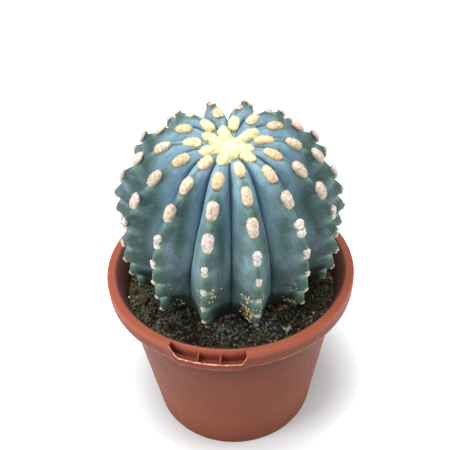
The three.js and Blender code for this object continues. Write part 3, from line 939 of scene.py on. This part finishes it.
def make_crown(material):
    """The star of the youngest areoles, one cushion of wool."""
    core = crown_core(material)
    faces = [tuple(face.vertices) for face in core.data.polygons]
    normals = np.array([v.normal for v in core.data.vertices])
    points = np.array([v.co for v in core.data.vertices]) / MM
    points = points + normals * lumps_at(points, CROWN_LUMPS)[:, None]
    bpy.data.objects.remove(core)

    wool = Cluster()
    from_axis = np.hypot(points[:, 0], points[:, 1])
    tip = smoothstep(from_axis, *CROWN_TIPS) * 2 - 1
    wool.add(points, faces, age=from_axis, tip=tip, tone=0.5, low=0)
    chosen = random.choice(np.flatnonzero(normals[:, 2] > 0.1), CROWN_TUFTS)
    roots = points[chosen] - CROWN_TUFT_SINK * normals[chosen]
    directions = unit(normals[chosen] + 0.4 * random.normal(size=(CROWN_TUFTS, 3)))
    lengths = random.uniform(*CROWN_TUFT_LENGTHS, CROWN_TUFTS)
    tone = np.clip(0.5 + random.normal(0, 0.2, CROWN_TUFTS), 0, 1)
    values = {"age": from_axis[chosen], "tip": tip[chosen], "tone": tone, "low": 0}
    add_tufts(wool, roots, directions, lengths, CROWN_TUFT_THICKNESS, **values)
    return wool.build("crown_star", material, plant_to_frame)


def wool_material():
    material, shader, place = new_material("areole_felt", 0.95, 0.1, sheen=0.35)
    age, tip, tone, low = (attribute(shader, name) for name in ("age", "tip", "tone", "low"))
    specks = noise_node(place, 1300, 3, 0.7)
    curls = noise_node(place, 620, 3, 0.75)
    years = maths("DIVIDE", age, 130.0)
    yellow_to_grey = ramp(years, [
        (0.0, (252, 251, 202)),
        (0.13, (250, 246, 188)),
        (0.22, (246, 232, 186)),
        (0.4, (238, 224, 204)),
        (0.6, (232, 222, 214)),
        (0.64, (214, 214, 208)),
        (1.0, (184, 190, 180)),
    ])
    brown = times(eased(tip, -0.2, 1.0), eased(years, 0.1, 0.25), eased(years, 0.5, 0.28), 0.32)
    # gaps: where painted shade lies between the curls of the felt
    gaps = times(eased(curls, 0.56, 0.38), eased(years, 0.08, 0.3, start=0.3), 0.62)
    colour = layered(yellow_to_grey, [
        # Brown lower ends, on the areoles that are neither young nor old
        (brown, (224, 168, 106)),
        # Painted shade in the gaps of the felt, and painted highlights on its curls
        (gaps, (198, 172, 156), "MULTIPLY"),
        (eased(curls, 0.54, 0.66, 0.6), (255, 250, 240)),
        (eased(specks, 0.5, 0.36, 0.3), (200, 172, 150), "MULTIPLY"),
        # Darker tufts, and painted shade along the edge against the skin
        (eased(tone, 0.7, 0.1, 0.5), (196, 168, 146), "MULTIPLY"),
        (times(low, 0.5), (132, 108, 88), "MULTIPLY"),
    ])
    feed(shader, "Base Color", colour)
    bump(shader, (curls, 0.8, 0.6), (specks, 0.5, 0.5))
    return material


# Soil


def wall_radius(z):
    return lerp(FOOT_RADIUS, SHOULDER_RADIUS, z / BAND_BOTTOM)


def inner_radius(z):
    return wall_radius(z) - WALL


SOIL_RADIUS = inner_radius(SOIL_HEIGHT) - SOIL_EDGE_GAP


def mounds_from(x, y):
    """For each mound, how far off its middle is, as a share of its radius, and its height."""
    return [(np.hypot(x - a, y - b) / radius, height) for a, b, radius, height in MOUNDS]


def soil_top(x, y):
    broad = 0.7 * np.sin(0.19 * x + 1.3) * np.cos(0.16 * y - 0.6)
    fine = 0.4 * np.sin(0.31 * x - 0.27 * y)
    z = SOIL_HEIGHT + broad + fine
    for away, height in mounds_from(x, y):
        z = z + height * np.maximum(0, 1 - away * away) ** 1.5
    return z


def mound_share(x, y):
    """1 on the mounds, 0 away from them."""
    return np.max([1 - smoothstep(away, 0.5, 1.15) for away, _ in mounds_from(x, y)], 0)


def clear_of_plant(x, y):
    """False where the plant's body stands on the soil."""
    return np.hypot(x - PLANT_FOOT[0], y - PLANT_FOOT[1] - STAND_SHIFT) > STAND_RADIUS


def make_soil(material):
    turn = around(SOIL_SEGMENTS)
    radii = np.append(np.linspace(SOIL_MIDDLE, SOIL_RADIUS - 0.4, SOIL_RINGS), SOIL_RADIUS)[:, None]
    top = on_azimuth(radii, turn, 0)
    calm = smoothstep(radii, SOIL_RADIUS - 2, SOIL_RADIUS)
    top[..., 2] = soil_top(top[..., 0], top[..., 1]) + lumps_at(top, SOIL_LUMPS) * lerp(1, 0.3, calm)
    floor, bevel = FLOOR_TOP + SOIL_FLOOR_GAP, FLOOR_TOP + FLOOR_BEVEL
    outline = [
        (SOIL_RADIUS, SOIL_HEIGHT - 3),
        (inner_radius(bevel) - SOIL_EDGE_GAP, bevel + SOIL_EDGE_GAP),
        (inner_radius(FLOOR_TOP) - 3.5, floor),
        (SOIL_MIDDLE, floor),
    ]
    rows = np.concatenate([top, [on_azimuth(radius, turn, z) for radius, z in outline]])
    return make_object("soil_bed", rows.reshape(-1, 3), closed(rows, flat_ends), material)


def soil_material():
    material, shader, place = new_material("peat_soil", 0.9, 0.25)
    grain = noise_node(place, 520, 4, 0.75)
    patches = noise_node(place, 60, 3)
    cells = add_node(shader.id_data, "TexVoronoi", {"Vector": place, "Scale": 650.0}).outputs["Distance"]
    peat = ramp(grain, [(0.34, (38, 38, 29)), (0.54, (98, 96, 74)), (0.68, (138, 126, 100))])
    feed(shader, "Base Color", mix(eased(patches, 0.48, 0.66, 0.6), peat, (60, 66, 34)))
    bump(shader, (cells, 0.8, 0.5), (grain, 0.6, 0.6))
    return material


def toned_material(name, dark, light, roughness, specular=0.3):
    """A dull material whose colour follows each shape's tone, 0 to 1."""
    material, shader, place = new_material(name, roughness, specular)
    grain = noise_node(place, 1400, 3, 0.7)
    colour = mix(eased(attribute(shader, "tone"), 0, 1), dark, light)
    feed(shader, "Base Color", mix(eased(grain, 0.65, 0.35, 0.4), colour, (70, 62, 52), "MULTIPLY"))
    bump(shader, (grain, 0.3, 0.5))
    return material


def lump_shape():
    ball = bmesh.new()
    bmesh.ops.create_icosphere(ball, subdivisions=1, radius=1)
    points = np.array([v.co for v in ball.verts])
    faces = np.array([[v.index for v in f.verts] for f in ball.faces])
    ball.free()
    return points, faces


def scattered(count, sizes, chances, flatness=0.7):
    """Crumbs lying on the soil, each place kept by one chance off the mounds and by another on them."""
    cluster = Cluster()
    shape, faces = lump_shape()
    made = 0
    while made < count:
        radius = SOIL_RADIUS * math.sqrt(random.uniform(0.2, 0.985))
        x, y = on_azimuth(radius, random.uniform(0, 360), 0)[:2]
        if not clear_of_plant(x, y) or random.uniform() > lerp(*chances, mound_share(x, y)):
            continue
        size = random.uniform(*sizes)
        stretch = size * random.uniform((0.7, 0.6, flatness * 0.7), (1.2, 1.1, flatness * 1.2))
        turned = Matrix.Rotation(random.uniform(0, 6.3), 3, "Z")
        turned = np.array(turned @ Matrix.Rotation(random.normal(0, 0.4), 3, "X"))
        uneven = 1 + 0.25 * random.normal(size=(len(shape), 1))
        place = (x, y, float(soil_top(x, y)) + 0.35 * size + random.uniform(0, 0.7))
        cluster.add(shape * uneven * stretch @ turned.T + place, faces, tone=random.uniform() ** 1.6)
        made += 1
    return cluster


def make_crumbs():
    peat = scattered(2400, (0.6, 1.5), (1, 0.4))
    stone = scattered(1300, (0.7, 1.35), (0.03, 1.03))
    perlite = scattered(70, (0.4, 1.0), (0.5, 0.5))
    bark = scattered(90, (1.6, 3.4), (0.5, 0.5), 0.3)
    return [
        peat.build("peat_crumbs", toned_material("peat", (46, 43, 35), (166, 155, 124), 0.9)),
        stone.build("lava_grit", toned_material("grit", (46, 50, 50), (172, 176, 172), 0.6, 0.5)),
        perlite.build("perlite", toned_material("perlite", (190, 190, 180), (236, 236, 228), 0.8)),
        bark.build("bark_bits", toned_material("bark", (58, 42, 32), (116, 92, 70), 0.8)),
    ]


def make_moss():
    """Low green moss in patches towards the rim."""
    cluster = Cluster()
    radius = SOIL_RADIUS * np.sqrt(random.uniform(0.45, 0.99, MOSS_TRIES))
    places = on_azimuth(radius, random.uniform(0, 360, MOSS_TRIES), 0)
    near_patch = np.exp(-(((places[:, :2] - MOSS_PATCH) / MOSS_PATCH_SIZE) ** 2).sum(1))
    likely = noise_at(places, 16, 11) + 0.5 * smoothstep(radius, 55, 78) + 0.6 * near_patch
    roots = places[(likely > 0.42) & clear_of_plant(places[:, 0], places[:, 1])]
    roots[:, 2] = soil_top(roots[:, 0], roots[:, 1])
    count = len(roots)
    directions = unit(random.normal(0, 0.5, (count, 3)) + (0, 0, 1))
    lengths = random.uniform(*MOSS_LENGTHS, count)
    add_tufts(cluster, roots, directions, lengths, MOSS_THICKNESS, tone=random.uniform(0, 1, count))
    return cluster.build("moss", toned_material("moss", (52, 60, 34), (122, 122, 80), 0.9))


def make_litter():
    """Beads, a seedling, a twig, husks and flakes lying on the soil in front."""
    cluster = Cluster()
    shape, faces = lump_shape()
    for x, y, sizes, degrees, rise, tone in LITTER:
        turned = np.array(Matrix.Rotation(math.radians(degrees), 3, "Z"))
        uneven = 1 + 0.12 * random.normal(size=(len(shape), 1))
        place = (x, y, float(soil_top(x, y)) + rise)
        cluster.add(shape * uneven * sizes @ turned.T + place, faces, tone=tone)
    material, shader, _ = new_material("litter", 0.8, 0.3)
    feed(shader, "Base Color", ramp(attribute(shader, "tone"), [
        (0.0, (176, 116, 78)),
        (0.35, (178, 152, 116)),
        (0.65, (150, 172, 128)),
        (0.8, (206, 210, 190)),
        (1.0, (236, 238, 230)),
    ]))
    return cluster.build("soil_litter", material)


# Pot


def slot_share(azimuth):
    started = smoothstep(azimuth, SLOT_START, SLOT_START + SLOT_EASES[0])
    return started * (1 - smoothstep(azimuth, SLOT_END - SLOT_EASES[1], SLOT_END))


def rounded(corner, before, after, radius, steps=4):
    """The points of a small round where an outline turns at a corner."""
    corner = np.array(corner, float)
    start = corner + unit(np.array(before, float) - corner) * radius
    end = corner + unit(np.array(after, float) - corner) * radius
    t = np.linspace(0, 1, steps)[:, None]
    return ((1 - t) ** 2 * start + 2 * t * (1 - t) * corner + t**2 * end).tolist()


def pot_rows():
    """The pot's outline from the middle of its floor over the rim to the middle of its foot.

    Each entry is (radius, z, part): the part says how the point answers to the label slot.
    """
    top, band, edge = POT_HEIGHT, BAND_BOTTOM, RIM_RADIUS
    floor_corner = (inner_radius(FLOOR_TOP) - FLOOR_BEVEL + 2, FLOOR_TOP)
    throat = [(84.5, 8), (85.7, 5), (86.6, 3), (87.2, 1.7), (88, 0.6), (88.5, 0.15)]
    slot_inner = [(0, 0.2), (0, 1.5), (0, 5), (0, 10.3), (0.3, 10.6)]
    slot_outer = [(-0.4, 10.6), (-0.1, 10.3), (0, LIP_DROP)]
    lip = [(93.45, 0), (93.8, 0), (94.3, 0.3), (94.7, 0.9), (94.95, 1.8), (edge, 3), (edge - 0.05, 6)]
    ring_inner = FOOT_RADIUS - 1.2 - FOOT_RING_WIDTH
    outline = [
        ("inside", [(0.5, FLOOR_TOP), (38, FLOOR_TOP), (52, FLOOR_TOP)]),
        ("inside", rounded(floor_corner, (0, FLOOR_TOP), (inner_radius(20), 20), 3)),
        ("inside", [(inner_radius(z), z) for z in (12, 30, 60, 90, 112, 122, band)]),
        ("inside", [(radius, top - depth) for radius, depth in throat]),
        ("", [(RIM_INNER_RADIUS + 0.1, top), (SLOT_INNER_RADIUS - 0.4, top)]),
        ("slot", [(SLOT_INNER_RADIUS + step, top - depth) for step, depth in slot_inner]),
        ("slot", [(SLOT_OUTER_RADIUS + step, top - depth) for step, depth in slot_outer]),
        ("lip", [(radius, top - depth) for radius, depth in lip]),
        ("skirt", [(edge - 0.15, top - 9.5), (edge - 0.25, band + 0.5)]),
        ("burr", [(edge - 0.45, band), (edge - 1.1, band - 0.1)]),
        ("skirt", [(edge - 1.8, band + 0.1), (edge - 1.8, band + 3)]),
        ("under", [(93.4, top - 3.5), (92.9, top - 2.7)]),
        ("inner", [(89.6, top - 2.6)]),
        ("", [(87.9, top - 4.6), (86, top - 9)]),
        ("", [(wall_radius(z), z) for z in (129.5, 127, 122, 110, 90, 70, 50, 30, 14, 5, 2)]),
        ("", rounded((FOOT_RADIUS + 0.1, 0), (wall_radius(4), 4), (60, 0), 1.2)),
        ("", [(ring_inner + 0.4, 0), (ring_inner, 0.3), (ring_inner - 0.9, FOOT_RECESS)]),
        ("", [(52, FOOT_RECESS), (38, FOOT_RECESS), (0.5, FOOT_RECESS)]),
    ]
    return [(radius, z, part) for part, points in outline for radius, z in points]


def pot_azimuths():
    """Even steps, with close ones where the label slot ends and beside its fins."""
    start, end = SLOT_OPEN
    close = [start - 0.12, start, start + 0.15, end - 0.15, end, end + 0.12]
    for fin in SLOT_FINS:
        close += [fin - FIN_HALF - 0.12, fin - FIN_HALF, fin, fin + FIN_HALF, fin + FIN_HALF + 0.12]
    even = [a for a in np.arange(0, 360, POT_STEP) if min(abs(a - c) for c in close) > 0.3]
    return np.array(sorted(even + close))


def pot_surface():
    """Rows of points round the pot, and what its colours need there: worn edges, the inside and the painted
    light in the slot.
    """
    azimuths = pot_azimuths()
    share = slot_share(azimuths)
    opened = (azimuths > SLOT_OPEN[0] - 0.01) & (azimuths < SLOT_OPEN[1] + 0.01)
    on_fin = np.min([np.abs(azimuths - fin) for fin in SLOT_FINS], 0) < FIN_HALF + 0.01
    burr = 0.35 * np.maximum(0, noise_at(on_azimuth(30, azimuths, 0), 2.2, 12)) + 0.15

    rows, values = [], {"edge": [], "inside": [], "slot": []}
    for radius, z, part in pot_rows():
        radii, heights = radius, z + 0 * azimuths
        if part in ("lip", "skirt", "burr", "under"):
            radii = radius + LIP_BULGE * share
            low = np.clip((POT_HEIGHT - z) / RIM_DEPTH, 0, 1)
            heights = z - lerp(LIP_DROP, LIP_SAG, low) * share
        if part == "under":
            heights = np.minimum(heights, POT_HEIGHT - LIP_DROP * share - LIP_THICKNESS)
        if part == "burr":
            heights = heights - burr
        if part == "slot":
            across = np.clip((radius - SLOT_INNER_RADIUS) / (SLOT_OUTER_RADIUS - SLOT_INNER_RADIUS), 0, 1)
            radii = radius + LIP_BULGE * share * across
            fin_top = POT_HEIGHT - lerp(FIN_DEPTH, LIP_DROP - 0.8, across)
            closed_top = POT_HEIGHT - LIP_DROP * share * across
            cut = np.where(on_fin, max(z, fin_top), z)
            heights = np.where(opened, np.minimum(closed_top, cut), closed_top)
        if part in ("under", "inner"):
            heights = np.where(opened, np.minimum(heights, BAND_BOTTOM + 0.4), heights)
        rows.append(on_azimuth(radii, azimuths, heights))

        lip_edge = radius > SLOT_OUTER_RADIUS - 0.05 and (part == "slot" or z > POT_HEIGHT - 0.7)
        # fading: the slot's painted light, strongest at the top
        fading = 1 - (POT_HEIGHT - z) / SLOT_FADE if part == "slot" else 0
        values["edge"].append(0.8 * opened if lip_edge else (part == "burr") + 0 * azimuths)
        values["inside"].append((part == "inside") + 0 * azimuths)
        values["slot"].append(fading * opened)
    return np.stack(rows), {key: np.stack(parts) for key, parts in values.items()}


def hole_cutter():
    """Cylinders for the drain holes and blocks for the notches in the foot ring."""
    cutter = bmesh.new()
    radius, depth = DRAIN_HOLE_RADIUS * MM, 2 * FLOOR_TOP * MM
    for azimuth in around(DRAIN_HOLES):
        place = Matrix.Translation(Vector(on_azimuth(DRAIN_RING_RADIUS, azimuth, FLOOR_TOP - 1) * MM))
        bmesh.ops.create_cone(
            cutter, cap_ends=True, segments=32, radius1=radius, radius2=radius, depth=depth, matrix=place
        )
    for azimuth in around(FOOT_NOTCHES) + 180 / FOOT_NOTCHES:
        place = Matrix.Translation(Vector(on_azimuth(FOOT_RADIUS - NOTCH_SIZE[1] / 4, azimuth, 0) * MM))
        turned = Matrix.Rotation(-math.radians(azimuth), 4, "Z")
        sized = Matrix.Diagonal((*[side * MM for side in NOTCH_SIZE], 1))
        bmesh.ops.create_cube(cutter, size=1, matrix=place @ turned @ sized)
    mesh = bpy.data.meshes.new("cutter")
    cutter.to_mesh(mesh)
    cutter.free()
    return new_object("cutter", mesh)


def make_pot(material):
    grid, values = pot_surface()
    pot = make_object("pot_shell", grid.reshape(-1, 3), closed(grid, flat_ends), material, values)
    cutter = hole_cutter()
    cut = pot.modifiers.new("holes", "BOOLEAN")
    cut.operation = "DIFFERENCE"
    cut.solver = "EXACT"
    cut.object = cutter
    apply_modifiers(pot)
    bpy.data.objects.remove(cutter)
    pot.data.set_sharp_from_angle(angle=math.radians(SHARP_ANGLE))
    return pot


def pot_material():
    material, shader, place = new_material("terracotta_plastic", 0.5, 0.12)
    height = millimetres(place, "Z")
    clouds = noise_node(place, 22, 4)
    dust = noise_node(place, 160, 5, 0.7)
    fine = noise_node(place, 1500)
    nicks = noise_node(place, 420, 3)
    ground = mix(eased(clouds, 0.35, 0.65), (104, 50, 30), (110, 55, 34))
    colour = layered(ground, [
        # Painted light low down, a painted shadow under the band, and the most painted light on the rim's top
        (eased(height, BAND_BOTTOM - 58, BAND_BOTTOM - 98), (119, 59, 35)),
        (eased(height, BAND_BOTTOM - 44, BAND_BOTTOM - 8), (82, 39, 24)),
        (eased(height, BAND_BOTTOM - 1, BAND_BOTTOM), (112, 52, 33)),
        (eased(height, POT_HEIGHT - 6, POT_HEIGHT - 1), (149, 79, 59)),
        (eased(dust, 0.5, 0.75, 0.12), (158, 104, 82)),
        # The dusty inside, painted light in the slot, and the pale worn edges
        (times(attribute(shader, "inside"), 0.9), (122, 84, 76)),
        (times(attribute(shader, "slot"), 0.45), (176, 92, 70)),
        (times(attribute(shader, "edge"), eased(nicks, 0.4, 0.6, start=0.35)), (228, 172, 150)),
    ])
    feed(shader, "Base Color", colour)
    feed(shader, "Roughness", eased(dust, 0.3, 0.7, 0.56, start=0.42))
    bump(shader, (clouds, 1.0, 0.05), (fine, 0.1, 0.25))
    return material


bpy.context.scene.view_settings.view_transform = "Standard"
make_camera()
make_stage()
make_lights()

wool = wool_material()
body = make_body(skin_material())
areoles = make_areoles(wool)
crown = make_crown(wool)
flecks = make_flecks()
soil = make_soil(soil_material())
crumbs = make_crumbs()
moss = make_moss()
litter = make_litter()
pot = make_pot(pot_material())

for piece in (body, areoles, flecks, crown, soil, *crumbs, moss, litter, pot):
    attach(piece, "root")
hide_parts("cactus")
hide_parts("cactus")
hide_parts("crown_wool")
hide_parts("soil")
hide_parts("pot")
